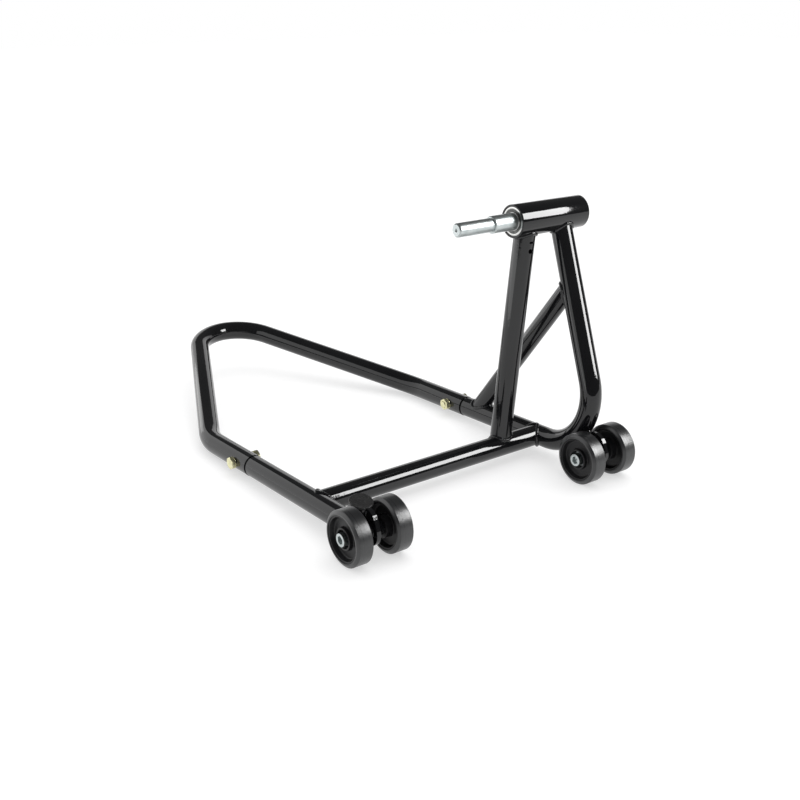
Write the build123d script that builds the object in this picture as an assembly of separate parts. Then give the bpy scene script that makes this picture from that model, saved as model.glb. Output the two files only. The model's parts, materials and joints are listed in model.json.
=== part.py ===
from build123d import *
import math
import os

# Rear paddock stand for a motorcycle with a single-sided swingarm.
# Two long base arms roll on twin wheels at the front. A bolted handle loop levers the stand.
# A ball-bearing spindle on a tall A-shaped frame goes into the hollow rear axle.
#
# Design frame: +X along the wheel axles, from the spindle tip towards the barrel.
# +Y runs from the wheels to the handle, +Z is up, and the floor is z = 0.
# x = 0 is midway between the base arms, and the wheel axles lie above y = 0.
# At the end everything moves to put the origin at the bottom centre of the bounding box.

os.makedirs("parts", exist_ok=True)

# ---------------------------------------------------------------- driving dimensions, mm
# Base frame tubes
base_tube_od = 32.0
base_tube_wall = 2.0
right_bend_radius = 80.0        # centreline of the right arm's bend
arm_spacing = 406.0             # between the two arm axes
arm_front_z = 30.4              # height of the arm axes above the wheel axles
cross_tube_y = 125.7
left_bend_radius = 44.0         # centreline of the left arm's upturned end
left_bend_clearance = 2.4       # between the left arm's bend and its axle tube
left_end_angle = 75.0           # degrees above the floor
left_end_straight = 8.0         # from the bend to the open end
right_corner_y = -15.1          # where the right arm turns up

# Handle loop
handle_tube_od = 33.0
handle_tube_wall = 2.0
handle_start_y = 297.0          # where the handle slides over the arms
handle_corner_y = 435.0         # the bends that rest on the floor
handle_foot_radius = 100.0
handle_top_y = 773.0
handle_top_z = 74.0
handle_top_width = 97.0         # between the corners of the top bar
handle_top_radius = 77.0
spigot_length = 60.0            # reduced arm end inside the handle
spigot_clearance = 0.1          # radial
spigot_wall = 2.0
swage_length = 4.0              # solid shoulder between the arm and its reduced end
joint_gap = 3.5                 # between an arm's shoulder and the handle's end

# Spindle barrel and its frame
barrel_y = 131.5
barrel_z = 365.0
barrel_start_x = 142.0
barrel_length = 131.0
seat_wall = 3.0                 # radial, outside a bearing
seat_shoulder = 2.0             # radial, behind a bearing
upright_foot_x = 129.5          # front upright, on the cross tube
upright_setback = 5.0           # of its foot, behind the cross tube's axis
upright_inset_x = 27.5          # front upright, from the barrel's near end
right_top_inset_x = 39.0        # right arm, from the barrel's far end
vent_diameter = 7.0
vent_drop = 43.5                # below the barrel axis
slot_width = 3.0
slot_drop = 31.0                # below the barrel axis
brace_od = 28.0
brace_wall = 2.0
brace_foot_y = 269.0            # on the right arm
brace_top_share = 0.714         # along the right upright, from its corner

# Ball bearings, 20 x 42 x 12
bearing_bore = 20.0
bearing_od = 42.0
bearing_width = 12.0
bearing_recess = 1.0            # below the barrel's end faces
race_gap = 4.4                  # radial, between the two races
ball_diameter = 6.35
ball_count = 9
groove_clearance = 0.025        # radial, between a ball and its groove
pocket_clearance = 0.1
cage_wall = 2.2                 # radial
cage_width = 7.6
shield_thickness = 0.5
shield_recess = 0.8
shield_gap = 0.25               # to the inner race

# Spindle
spindle_tip_diameter = 20.0
spindle_tip_length = 62.5
spindle_shoulder_diameter = 25.0
spindle_shoulder_length = 41.5  # from the tip to the near inner race
spindle_tip_chamfer = 2.0
shoulder_chamfer = 1.2
relief_width = 2.0
relief_depth = 0.6
centre_hole_diameter = 5.0
spindle_end_length = 2.2        # beyond the circlip
circlip_thickness = 1.2
circlip_depth = 0.6             # of its groove
circlip_height = 3.0            # radial width of the ring
circlip_gap = 6.0
spacer_clearance = 0.1
spacer_wall = 2.4

# Wheels
wheel_diameter = 75.0
wheel_width = 25.0
wheel_side_clearance = 1.63     # between a tyre and the arm it straddles
tyre_thickness = 6.0
tyre_edge_radius = 3.0
rim_inset = 1.0
rim_wall = 2.6
rim_taper = 2.0
web_thickness = 9.0
boss_diameter = 30.0
boss_recess = 2.0               # of the outer boss face, inside the tyre's face
boss_proud = 3.0                # of the inner boss face, outside the tyre's face
head_recess_diameter = 25.0
head_recess_depth = 11.5
bush_wall = 2.5
axle_clearance = 0.05           # radial, screw in bush
end_float = 0.3                 # at each face of a wheel boss

# Wheel lugs and axle tubes
lug_thickness = 6.0
lug_nose_radius = 20.0
lug_nose_rise = 10.3
lug_nose_lean = 4.0
lug_root_angle = 35.0           # degrees round the arm's bend
lug_root_inset = 4.0            # inside the tube's surface
axle_tube_wall = 4.0
axle_tube_clearance = 0.25

# Fasteners
axle_thread = 12.0
axle_head_diameter = 18.0
axle_head_height = 12.0
axle_hex = 10.0
axle_hex_depth = 6.0
axle_nut_flats = 19.0
axle_nut_height = 10.0
axle_washer_diameter = 23.0
axle_washer_thickness = 1.5
axle_thread_stickout = 2.0
handle_thread = 10.0
handle_bolt_offset = 31.0       # behind the handle's open end
handle_hex = 16.0
handle_head_height = 6.0
handle_nut_height = 7.0
handle_washer_diameter = 18.0
handle_washer_thickness = 1.2
handle_thread_stickout = 1.0
hole_clearance = 0.25           # radial, round the handle bolts
washer_clearance = 0.2          # radial, in every washer and nut

# End plug of the left arm
plug_head_thickness = 3.0
plug_stem_length = 8.0
plug_edge_radius = 1.2
plug_clearance = 0.1

# ---------------------------------------------------------------- derived places
base_radius = base_tube_od / 2
handle_radius = handle_tube_od / 2
half_spacing = arm_spacing / 2
axle_z = wheel_diameter / 2
axle_tube_bore = axle_thread + 2 * axle_tube_clearance
axle_tube_od = axle_tube_bore + 2 * axle_tube_wall
barrel_od = bearing_od + 2 * seat_wall
barrel_bore = bearing_od - 2 * seat_shoulder
barrel_end_x = barrel_start_x + barrel_length
race_near_x = barrel_start_x + bearing_recess
race_far_x = barrel_end_x - bearing_recess
handle_bolt_y = handle_start_y + handle_bolt_offset
parts = {}


def arm_point(side, y):
    """A point on an arm axis, which runs down to the handle bends that rest on the floor."""
    drop = (arm_front_z - handle_radius) * y / handle_corner_y
    return Vector(side * half_spacing, y, arm_front_z - drop)


def across(x, y, z):
    """The plane at a point whose normal is +X, with local X along +Y."""
    return Plane(origin=(x, y, z), x_dir=(0, 1, 0), z_dir=(1, 0, 0))


def rod(start_x, end_x, diameter, y, z):
    return extrude(across(start_x, y, z) * Circle(diameter / 2), end_x - start_x)


def ring(start_x, end_x, outer, inner, y, z):
    return rod(start_x, end_x, outer, y, z) - rod(start_x, end_x, inner, y, z)


def hexagon(start_x, end_x, flats, y, z):
    outline = RegularPolygon(flats / 2, 6, major_radius=False)
    return extrude(across(start_x, y, z) * outline, end_x - start_x)


def swept(path, diameter):
    start = Plane(origin=path @ 0, z_dir=path % 0)
    return sweep(start * Circle(diameter / 2), path=path)


def tube(path, outer_diameter, wall):
    """Both the solid that the tube fills and the hollow tube itself."""
    filled = swept(path, outer_diameter)
    return filled, filled - swept(path, outer_diameter - 2 * wall)


# ---------------------------------------------------------------- base arms
def arm_with_spigot(corner, end, bend_radius, side):
    """An arm from its reduced end in the handle, round its corner, to its upper end."""
    shoulder_y = handle_start_y - joint_gap
    step = arm_point(side, shoulder_y)
    spigot_od = handle_tube_od - 2 * handle_tube_wall - 2 * spigot_clearance
    path = FilletPolyline(step, corner, end, radius=bend_radius)
    filled, hollow = tube(path, base_tube_od, base_tube_wall)
    swage_start = arm_point(side, shoulder_y - swage_length)
    swage_wall = (base_tube_od - spigot_od) / 2 + spigot_wall
    _, swage = tube(Line(swage_start, step), base_tube_od, swage_wall)
    spigot_end = arm_point(side, handle_start_y + spigot_length)
    _, spigot = tube(Line(swage_start, spigot_end), spigot_od, spigot_wall)
    hole = rod(
        corner.X - base_tube_od,
        corner.X + base_tube_od,
        handle_thread + 2 * hole_clearance,
        handle_bolt_y,
        arm_point(side, handle_bolt_y).Z,
    )
    return filled, hollow + swage + spigot - hole


def tangent_length(corner, direction, bend_radius, side):
    """How far from its corner an arm's bend starts and ends."""
    toward_handle = arm_point(side, handle_start_y) - corner
    turn = math.radians(180 - direction.get_angle(toward_handle))
    return bend_radius * math.tan(turn / 2)


def corner_clear_of_axle(tangent, bend_radius, clearance, side):
    """The corner that bends an arm round its axle tube at a clearance."""
    start = arm_point(side, 0)
    along = (arm_point(side, handle_start_y) - start).normalized()
    upward = Vector(0, -along.Z, along.Y)
    to_axle = Vector(side * half_spacing, 0, axle_z) - start
    reach = bend_radius + base_radius + axle_tube_od / 2 + clearance
    rise = bend_radius - to_axle.dot(upward)
    return start + along * (to_axle.dot(along) + math.sqrt(reach**2 - rise**2) - tangent)


left_angle = math.radians(left_end_angle)
left_end_direction = Vector(0, -math.cos(left_angle), math.sin(left_angle))
left_tangent = tangent_length(arm_point(-1, 0), left_end_direction, left_bend_radius, -1)
left_corner = corner_clear_of_axle(left_tangent, left_bend_radius, left_bend_clearance, -1)
left_end = left_corner + left_end_direction * (left_tangent + left_end_straight)
left_filled, left_arm = arm_with_spigot(left_corner, left_end, left_bend_radius, -1)

right_corner = arm_point(1, right_corner_y)
right_top = Vector(barrel_end_x - right_top_inset_x, barrel_y, barrel_z)
right_tangent = tangent_length(right_corner, right_top - right_corner, right_bend_radius, 1)
right_filled, right_arm = arm_with_spigot(right_corner, right_top, right_bend_radius, 1)

barrel_filled = rod(barrel_start_x, barrel_end_x, barrel_od, barrel_y, barrel_z)
parts["left_arm_tube"] = left_arm
parts["right_arm_tube"] = right_arm - barrel_filled

# ---------------------------------------------------------------- cross tube and uprights
cross_path = Line(arm_point(-1, cross_tube_y), arm_point(1, cross_tube_y))
cross_filled, cross_hollow = tube(cross_path, base_tube_od, base_tube_wall)
parts["cross_tube"] = cross_hollow - left_filled - right_filled

upright_foot_y = cross_tube_y + upright_setback
upright_foot = Vector(upright_foot_x, upright_foot_y, arm_point(1, cross_tube_y).Z)
upright_top = Vector(barrel_start_x + upright_inset_x, barrel_y, barrel_z)
_, upright_hollow = tube(Line(upright_foot, upright_top), base_tube_od, base_tube_wall)


def upright_at(drop):
    """The point of the front upright's axis at a height below the barrel axis."""
    share = 1 - drop / (upright_top.Z - upright_foot.Z)
    return upright_foot + (upright_top - upright_foot) * share


vent_centre = upright_at(vent_drop)
slot_centre = upright_at(slot_drop)
front_wall = Plane(origin=vent_centre, x_dir=(1, 0, 0), z_dir=(0, -1, 0))
vent = extrude(front_wall * Circle(vent_diameter / 2), base_tube_od)
front_slot = Plane(origin=slot_centre, x_dir=(1, 0, 0), z_dir=(0, -1, 0))
slot = extrude(front_slot * SlotOverall(vent_diameter, slot_width), base_tube_od)
parts["front_upright_tube"] = upright_hollow - cross_filled - barrel_filled - vent - slot

brace_foot = arm_point(1, brace_foot_y)
brace_top = right_corner + (right_top - right_corner) * brace_top_share
_, brace_hollow = tube(Line(brace_foot, brace_top), brace_od, brace_wall)
parts["brace_tube"] = brace_hollow - right_filled

# ---------------------------------------------------------------- spindle barrel
seat_depth = bearing_recess + bearing_width
barrel = barrel_filled - rod(barrel_start_x, barrel_end_x, barrel_bore, barrel_y, barrel_z)
barrel -= rod(barrel_start_x, barrel_start_x + seat_depth, bearing_od, barrel_y, barrel_z)
barrel -= rod(barrel_end_x - seat_depth, barrel_end_x, bearing_od, barrel_y, barrel_z)
parts["hub_barrel"] = barrel


# ---------------------------------------------------------------- ball bearings
def bearing(start_x):
    """The pieces of one bearing whose near face is at start_x, by node name."""
    end_x = start_x + bearing_width
    middle_x = start_x + bearing_width / 2
    pitch_diameter = (bearing_bore + bearing_od) / 2
    inner_race_od = pitch_diameter - race_gap
    outer_race_id = pitch_diameter + race_gap
    groove = across(middle_x, barrel_y, barrel_z) * Torus(
        pitch_diameter / 2, ball_diameter / 2 + groove_clearance
    )
    outer = ring(start_x, end_x, bearing_od, outer_race_id, barrel_y, barrel_z)
    inner = ring(start_x, end_x, inner_race_od, bearing_bore, barrel_y, barrel_z)
    cage = ring(
        middle_x - cage_width / 2,
        middle_x + cage_width / 2,
        pitch_diameter + cage_wall,
        pitch_diameter - cage_wall,
        barrel_y,
        barrel_z,
    )
    balls = []
    for index in range(ball_count):
        angle = 2 * math.pi * index / ball_count
        centre = Pos(
            middle_x,
            barrel_y + pitch_diameter / 2 * math.cos(angle),
            barrel_z + pitch_diameter / 2 * math.sin(angle),
        )
        balls.append(centre * Sphere(ball_diameter / 2))
        cage -= centre * Sphere(ball_diameter / 2 + pocket_clearance)
    shields = []
    for shield_x in (start_x + shield_recess, end_x - shield_recess - shield_thickness):
        inside = inner_race_od + 2 * shield_gap
        shields.append(
            ring(shield_x, shield_x + shield_thickness, outer_race_id, inside, barrel_y, barrel_z)
        )
    return {
        "bearing_outer_races": [outer - groove],
        "bearing_inner_races": [inner - groove],
        "bearing_balls": balls,
        "bearing_cages": [cage],
        "bearing_shields": shields,
    }


bearings = [bearing(race_near_x), bearing(race_far_x - bearing_width)]
for name in bearings[0]:
    parts[name] = [piece for each in bearings for piece in each[name]]

# ---------------------------------------------------------------- spindle
shoulder_start_x = race_near_x - spindle_shoulder_length
tip_start_x = shoulder_start_x - spindle_tip_length
spindle_end_x = race_far_x + circlip_thickness + spindle_end_length
circlip_seat = bearing_bore - 2 * circlip_depth


def spindle_section():
    """Half of the turned spindle's section, with its radius along +Y."""
    tip = spindle_tip_diameter / 2
    shoulder = spindle_shoulder_diameter / 2
    journal = bearing_bore / 2
    return Polyline(
        (tip_start_x, 0),
        (tip_start_x, tip - spindle_tip_chamfer),
        (tip_start_x + spindle_tip_chamfer, tip),
        (shoulder_start_x - relief_width, tip),
        (shoulder_start_x - relief_width, tip - relief_depth),
        (shoulder_start_x, tip - relief_depth),
        (shoulder_start_x, shoulder - shoulder_chamfer),
        (shoulder_start_x + shoulder_chamfer, shoulder),
        (race_near_x, shoulder),
        (race_near_x, journal),
        (race_far_x, journal),
        (race_far_x, circlip_seat / 2),
        (race_far_x + circlip_thickness, circlip_seat / 2),
        (race_far_x + circlip_thickness, journal),
        (spindle_end_x - shoulder_chamfer, journal),
        (spindle_end_x, journal - shoulder_chamfer),
        (spindle_end_x, 0),
        close=True,
    )


spindle = Pos(0, barrel_y, barrel_z) * revolve(make_face(spindle_section()), Axis.X)
centre_hole = Pos(tip_start_x, barrel_y, barrel_z) * Rot(0, 90, 0) * Cone(
    centre_hole_diameter / 2, 0, centre_hole_diameter, align=(Align.CENTER, Align.CENTER, Align.MIN)
)
parts["spindle_pin"] = spindle - centre_hole
spacer_id = bearing_bore + 2 * spacer_clearance
parts["race_spacer"] = ring(
    race_near_x + bearing_width,
    race_far_x - bearing_width,
    spacer_id + 2 * spacer_wall,
    spacer_id,
    barrel_y,
    barrel_z,
)
circlip = ring(
    race_far_x,
    race_far_x + circlip_thickness,
    circlip_seat + 2 * circlip_height,
    circlip_seat,
    barrel_y,
    barrel_z,
)
gap_centre = Pos(race_far_x + circlip_thickness / 2, barrel_y, barrel_z - bearing_bore / 2)
parts["spindle_circlip"] = circlip - gap_centre * Box(bearing_width, circlip_gap, bearing_bore)


# ---------------------------------------------------------------- wheels
hub_diameter = wheel_diameter - 2 * tyre_thickness
bush_bore = axle_thread + 2 * axle_clearance
bush_od = bush_bore + 2 * bush_wall
half_width = wheel_width / 2


def reach_beside_wheels(arm_filled, side):
    """How far an arm reaches sideways from its axis where a wheel stands beside it."""
    start_x = side * half_spacing
    shadow = rod(start_x, start_x + base_tube_od, wheel_diameter, 0, axle_z)
    return (arm_filled & shadow).bounding_box().max.X - start_x


arm_reach = max(reach_beside_wheels(left_filled, -1), reach_beside_wheels(right_filled, 1))
wheel_gap = 2 * (arm_reach + wheel_side_clearance)      # between the two tyres of a pair
seat_x = half_width - head_recess_depth     # face that the washer runs on
boss_inner_x = -half_width - boss_proud


def hub_section():
    """Half of a hub's section about the wheel's middle, with +X outwards."""
    hub = hub_diameter / 2
    rim = hub - rim_wall
    rim_x = half_width - rim_inset
    web_x = web_thickness / 2
    boss = boss_diameter / 2
    boss_x = half_width - boss_recess
    return Polyline(
        (-rim_x, hub),
        (rim_x, hub),
        (rim_x, rim),
        (web_x, rim - rim_taper),
        (web_x, boss),
        (boss_x, boss),
        (boss_x, head_recess_diameter / 2),
        (seat_x, head_recess_diameter / 2),
        (seat_x, bush_od / 2),
        (boss_inner_x, bush_od / 2),
        (boss_inner_x, boss),
        (-web_x, boss),
        (-web_x, rim - rim_taper),
        (-rim_x, rim),
        close=True,
    )


def wheel(middle_x, outward):
    """One wheel's tyre, hub and bush. outward is +1 or -1, the way its outer face looks."""
    tyre = ring(-half_width, half_width, wheel_diameter, hub_diameter, 0, 0)
    outer_edges = [
        edge
        for edge in tyre.edges().filter_by(GeomType.CIRCLE)
        if edge.radius > wheel_diameter / 2 - tyre_thickness / 2
    ]
    tyre = fillet(outer_edges, tyre_edge_radius)
    hub = revolve(make_face(hub_section()), Axis.X)
    bush = ring(boss_inner_x, seat_x, bush_od, bush_bore, 0, 0)
    place = Pos(middle_x, 0, axle_z) * Rot(0, 0, 0 if outward > 0 else 180)
    return {"tyre": place * tyre, "hub": place * hub, "bush": place * bush}


def wheel_pair(side_name, side):
    """Both wheels of one arm and the fasteners and tube that carry them."""
    middle_x = side * half_spacing
    offset = (wheel_gap + wheel_width) / 2
    for place_name, outward in (("outer", side), ("inner", -side)):
        for piece_name, piece in wheel(middle_x + outward * offset, outward).items():
            parts[f"{side_name}_{place_name}_{piece_name}"] = piece
    tube_half = offset + boss_inner_x - end_float
    parts[f"{side_name}_axle_tube"] = ring(
        middle_x - tube_half, middle_x + tube_half, axle_tube_od, axle_tube_bore, 0, axle_z
    )
    seat = offset + seat_x + end_float
    under_head = seat + axle_washer_thickness
    washer_bore = axle_thread + 2 * washer_clearance
    washers = [
        ring(start, start + axle_washer_thickness, axle_washer_diameter, washer_bore, 0, axle_z)
        for start in (middle_x - under_head, middle_x + seat)
    ]
    nut_start = middle_x + under_head
    screw_end = nut_start + axle_nut_height + axle_thread_stickout
    head_start = middle_x - under_head - axle_head_height
    screw = rod(head_start, middle_x - under_head, axle_head_diameter, 0, axle_z)
    screw += rod(head_start, screw_end, axle_thread, 0, axle_z)
    screw -= hexagon(head_start, head_start + axle_hex_depth, axle_hex, 0, axle_z)
    nut = hexagon(nut_start, nut_start + axle_nut_height, axle_nut_flats, 0, axle_z)
    nut -= rod(nut_start, nut_start + axle_nut_height, washer_bore, 0, axle_z)
    return {
        "axle_screws": [screw],
        "axle_nuts": [nut],
        "axle_washers": washers,
    }


pairs = [wheel_pair("left", -1), wheel_pair("right", 1)]
for name in ("axle_screws", "axle_nuts", "axle_washers"):
    parts[name] = [piece for pair in pairs for piece in pair[name]]


# ---------------------------------------------------------------- wheel lugs
def lug(corner, tangent, bend_radius, side):
    """The plate from inside an arm's bend forward to the axle tube, rounded about the axle."""
    toward_handle = (arm_point(side, handle_start_y) - corner).normalized()
    upward = Vector(0, -toward_handle.Z, toward_handle.Y)
    angle = math.radians(lug_root_angle)
    root = corner + toward_handle * (tangent - bend_radius * math.sin(angle))
    root += upward * (bend_radius * (1 - math.cos(angle)))
    circles = [
        Pos(0, axle_z) * CenterArc((0, 0), lug_nose_radius, 0, 360),
        Pos(lug_nose_lean, axle_z + lug_nose_rise) * CenterArc((0, 0), lug_nose_radius, 0, 360),
        Pos(root.Y, root.Z) * CenterArc((0, 0), base_radius - lug_root_inset, 0, 360),
    ]
    outline = make_hull(circles)
    start_x = side * half_spacing - lug_thickness / 2
    plate = extrude(across(start_x, 0, 0) * outline, lug_thickness)
    return plate - rod(start_x, start_x + lug_thickness, axle_tube_od, 0, axle_z)


plug_plane = Plane(origin=left_end, x_dir=(1, 0, 0), z_dir=left_end_direction)
plug_space = extrude(plug_plane * Circle(base_radius + plug_clearance), base_tube_od)
left_lug = lug(left_corner, left_tangent, left_bend_radius, -1)
right_lug = lug(right_corner, right_tangent, right_bend_radius, 1)
parts["left_wheel_lug"] = left_lug - left_filled - plug_space
parts["right_wheel_lug"] = right_lug - right_filled

# ---------------------------------------------------------------- end plug
plug_head = extrude(plug_plane * Circle(base_radius), plug_head_thickness)
plug_head = fillet(plug_head.edges().sort_by(Axis.Z)[-1], plug_edge_radius)
stem_radius = base_radius - base_tube_wall - plug_clearance
parts["left_arm_plug"] = plug_head + extrude(plug_plane * Circle(stem_radius), -plug_stem_length)

# ---------------------------------------------------------------- handle loop
handle_path = FilletPolyline(
    arm_point(-1, handle_start_y),
    arm_point(-1, handle_corner_y),
    (-handle_top_width / 2, handle_top_y, handle_top_z),
    (handle_top_width / 2, handle_top_y, handle_top_z),
    arm_point(1, handle_corner_y),
    arm_point(1, handle_start_y),
    radius=[handle_foot_radius, handle_top_radius, handle_top_radius, handle_foot_radius],
)
_, handle = tube(handle_path, handle_tube_od, handle_tube_wall)


def handle_bolting(side):
    """One bolt across the handle and the arm inside it, with its head outwards."""
    x = side * half_spacing
    z = arm_point(side, handle_bolt_y).Z
    washer_face = handle_radius + handle_washer_thickness
    bore = handle_thread + 2 * washer_clearance
    washers = [
        ring(start, start + handle_washer_thickness, handle_washer_diameter, bore, handle_bolt_y, z)
        for start in (x - washer_face, x + handle_radius)
    ]
    head_x = sorted((x + side * washer_face, x + side * (washer_face + handle_head_height)))
    nut_x = sorted((x - side * washer_face, x - side * (washer_face + handle_nut_height)))
    tip = x - side * (washer_face + handle_nut_height + handle_thread_stickout)
    shank_x = sorted((x + side * washer_face, tip))
    bolt = hexagon(*head_x, handle_hex, handle_bolt_y, z)
    bolt += rod(*shank_x, handle_thread, handle_bolt_y, z)
    nut = hexagon(*nut_x, handle_hex, handle_bolt_y, z) - rod(*nut_x, bore, handle_bolt_y, z)
    return bolt, nut, washers


parts["handle_bolts"] = []
parts["handle_nuts"] = []
parts["handle_washers"] = []
for side in (-1, 1):
    bolt, nut, washers = handle_bolting(side)
    parts["handle_bolts"].append(bolt)
    parts["handle_nuts"].append(nut)
    parts["handle_washers"].extend(washers)
    x = side * half_spacing
    handle -= rod(
        x - handle_tube_od,
        x + handle_tube_od,
        handle_thread + 2 * hole_clearance,
        handle_bolt_y,
        arm_point(side, handle_bolt_y).Z,
    )
parts["handle_loop"] = handle

# ---------------------------------------------------------------- origin and export
solids = {}
for name, piece in parts.items():
    pieces = piece if isinstance(piece, list) else [piece]
    solids[name] = [solid for each in pieces for solid in each.solids()]
box = Compound([solid for group in solids.values() for solid in group]).bounding_box()
origin = Vector((box.min.X + box.max.X) / 2, (box.min.Y + box.max.Y) / 2, box.min.Z)
for name, group in solids.items():
    moved = [Pos(-origin) * solid for solid in group]
    export_step(moved[0] if len(moved) == 1 else Compound(moved), f"parts/{name}.step")
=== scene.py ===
import json
import math

import bmesh
import bpy
from mathutils import Matrix, Vector
from mathutils.bvhtree import BVHTree


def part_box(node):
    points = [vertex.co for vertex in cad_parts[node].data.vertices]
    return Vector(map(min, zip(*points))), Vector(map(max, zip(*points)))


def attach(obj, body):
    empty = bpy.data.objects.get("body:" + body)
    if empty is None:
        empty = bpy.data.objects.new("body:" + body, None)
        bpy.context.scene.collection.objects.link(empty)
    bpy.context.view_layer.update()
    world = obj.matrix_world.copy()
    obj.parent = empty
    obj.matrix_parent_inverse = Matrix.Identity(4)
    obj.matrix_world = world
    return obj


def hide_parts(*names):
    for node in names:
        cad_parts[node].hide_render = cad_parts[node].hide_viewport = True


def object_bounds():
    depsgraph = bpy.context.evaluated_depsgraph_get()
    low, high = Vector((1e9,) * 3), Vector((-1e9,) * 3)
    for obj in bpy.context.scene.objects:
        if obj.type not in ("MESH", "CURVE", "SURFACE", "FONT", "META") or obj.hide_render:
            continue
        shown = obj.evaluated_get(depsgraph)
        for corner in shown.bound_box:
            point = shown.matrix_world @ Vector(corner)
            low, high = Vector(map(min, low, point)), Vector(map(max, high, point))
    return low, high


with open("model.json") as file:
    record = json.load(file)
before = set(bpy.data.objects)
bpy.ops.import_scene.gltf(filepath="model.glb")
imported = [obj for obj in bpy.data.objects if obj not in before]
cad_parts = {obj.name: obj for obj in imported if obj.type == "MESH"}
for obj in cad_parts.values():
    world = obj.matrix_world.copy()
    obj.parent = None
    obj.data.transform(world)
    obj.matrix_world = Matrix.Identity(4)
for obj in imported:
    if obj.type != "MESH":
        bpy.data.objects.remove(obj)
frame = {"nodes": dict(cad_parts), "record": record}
cad_low, cad_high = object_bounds()

# All lengths are in metres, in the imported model's frame: +X along the axles, +Z up.
MM = 0.001


def middle(node):
    low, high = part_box(node)
    return (low + high) / 2


def extent(node):
    low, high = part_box(node)
    return high - low


arms_middle = (middle("left_axle_tube") + middle("right_axle_tube")) / 2
floor_height = cad_low.z


# ---------------------------------------------------------------- materials
class Material:
    """A node material with one principled shader and short ways to feed it."""

    def __init__(self, name, base, metallic, roughness):
        self.data = bpy.data.materials.new(name)
        self.data.use_nodes = True
        self.tree = self.data.node_tree
        self.shader = self.tree.nodes["Principled BSDF"]
        self.shader.inputs["Base Color"].default_value = (*base, 1)
        self.shader.inputs["Metallic"].default_value = metallic
        self.shader.inputs["Roughness"].default_value = roughness
        self.place = self.tree.nodes.new("ShaderNodeTexCoord").outputs["Object"]

    def link(self, source, target):
        self.tree.links.new(source, target)

    def node(self, kind, **settings):
        node = self.tree.nodes.new("ShaderNode" + kind)
        for name, value in settings.items():
            setattr(node, name, value)
        return node

    def turned(self, fineness):
        """Coordinates that change along X and with the radius from X, but not round it."""
        split = self.node("SeparateXYZ")
        self.link(self.place, split.inputs[0])
        across = self.node("CombineXYZ")
        self.link(split.outputs["Y"], across.inputs["Y"])
        self.link(split.outputs["Z"], across.inputs["Z"])
        radius = self.node("VectorMath", operation="LENGTH")
        self.link(across.outputs[0], radius.inputs[0])
        both = self.node("CombineXYZ")
        self.link(split.outputs["X"], both.inputs["X"])
        self.link(radius.outputs["Value"], both.inputs["Y"])
        scaled = self.node("VectorMath", operation="SCALE")
        self.link(both.outputs[0], scaled.inputs[0])
        scaled.inputs["Scale"].default_value = fineness
        return scaled.outputs[0]

    def noise(self, scale, detail=2.0, vector=None, roughness=0.5):
        noise = self.node("TexNoise")
        self.link(vector or self.place, noise.inputs["Vector"])
        noise.inputs["Scale"].default_value = scale
        noise.inputs["Detail"].default_value = detail
        noise.inputs["Roughness"].default_value = roughness
        return noise.outputs["Fac"]

    def grains(self, scale):
        cells = self.node("TexVoronoi", feature="F1")
        self.link(self.place, cells.inputs["Vector"])
        cells.inputs["Scale"].default_value = scale
        return cells.outputs["Distance"]

    def spread(self, value, low, high, start=0.3, end=0.7):
        """The value from start to end, brought to low to high."""
        ranged = self.node("MapRange")
        self.link(value, ranged.inputs["Value"])
        ranged.inputs["From Min"].default_value = start
        ranged.inputs["From Max"].default_value = end
        ranged.inputs["To Min"].default_value = low
        ranged.inputs["To Max"].default_value = high
        return ranged.outputs["Result"]

    def colours(self, value, *stops):
        """A colour ramp on the value. Each stop is a position and a colour."""
        ramp = self.node("ValToRGB")
        elements = ramp.color_ramp.elements
        while len(elements) < len(stops):
            elements.new(0.5)
        for element, (position, colour) in zip(elements, stops):
            element.position = position
            element.color = (*colour, 1)
        self.link(value, ramp.inputs["Fac"])
        self.link(ramp.outputs["Color"], self.shader.inputs["Base Color"])

    def rough(self, value):
        self.link(value, self.shader.inputs["Roughness"])

    def bumps(self, *layers):
        """Bump layers, each a height value and its depth in metres."""
        below = None
        for height, depth in layers:
            bump = self.node("Bump")
            bump.inputs["Distance"].default_value = depth
            self.link(height, bump.inputs["Height"])
            if below:
                self.link(below, bump.inputs["Normal"])
            below = bump.outputs["Normal"]
        self.link(below, self.shader.inputs["Normal"])


def powder_coat():
    coat = Material("gloss_black_powder_coat", (0.006, 0.006, 0.007), 0, 0.14)
    coat.colours(
        coat.noise(9, 3),
        (0.3, (0.0035, 0.0036, 0.0042)),
        (0.75, (0.0075, 0.0078, 0.0085)),
    )
    coat.rough(coat.spread(coat.noise(24, 5), 0.03, 0.08))
    coat.bumps((coat.noise(330, 1.5), 0.03 * MM), (coat.noise(55, 2), 0.07 * MM))
    return coat.data


def zinc_plate():
    zinc = Material("blue_white_zinc", (0.66, 0.7, 0.73), 1, 0.26)
    lines = zinc.noise(1, 4, zinc.turned(1900), 0.7)
    zinc.colours(
        zinc.noise(70, 4),
        (0.25, (0.42, 0.46, 0.46)),
        (0.55, (0.53, 0.57, 0.57)),
        (0.8, (0.58, 0.61, 0.6)),
    )
    zinc.rough(zinc.spread(lines, 0.32, 0.46))
    zinc.bumps((lines, 0.02 * MM), (zinc.noise(260, 2), 0.015 * MM))
    return zinc.data


def yellow_zinc():
    yellow = Material("yellow_zinc", (0.75, 0.66, 0.33), 1, 0.28)
    yellow.colours(
        yellow.noise(140, 3),
        (0.25, (0.56, 0.56, 0.36)),
        (0.5, (0.74, 0.71, 0.44)),
        (0.68, (0.8, 0.79, 0.58)),
        (0.85, (0.62, 0.68, 0.46)),
    )
    yellow.rough(yellow.spread(yellow.noise(420, 3), 0.2, 0.36))
    yellow.bumps((yellow.noise(600, 3), 0.02 * MM))
    return yellow.data


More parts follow.
